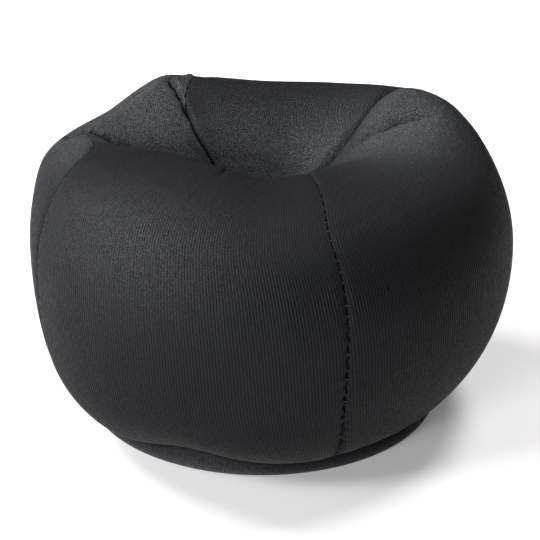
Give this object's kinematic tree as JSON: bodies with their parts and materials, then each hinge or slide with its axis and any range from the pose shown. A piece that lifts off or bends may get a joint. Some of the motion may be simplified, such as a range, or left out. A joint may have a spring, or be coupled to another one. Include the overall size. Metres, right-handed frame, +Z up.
{
  "type": "beanbag phone stand",
  "caption": "Round beanbag stand on a stiff flat base, its top drawn down into a folded pit with a low front lip and a high back, to hold a phone upright",
  "frame": {"origin": "on the floor, at the centre of the round base's flat underside", "axes": "+Z up; -Y towards the front, where the lip is lowest; +X to the right as seen from the front"},
  "size_m": [0.1185, 0.1178, 0.0754],
  "materials": {
    "rib_knit": "black stretch rib knit, fine vertical ribs, soft sheen at grazing angles",
    "base_knit": "the same black rib knit, ribs running slantwise round the rim",
    "board": "plain grey pressed board, not seen",
    "beads": "white foamed beads, not seen"
  },
  "bodies": {
    "root": {"front_gore": "rib_knit", "right_gore": "rib_knit", "back_gore": "rib_knit", "left_gore": "rib_knit", "base_panel": "base_knit", "base_board": "board", "bead_fill": "beads"}
  },
  "joints": []
}
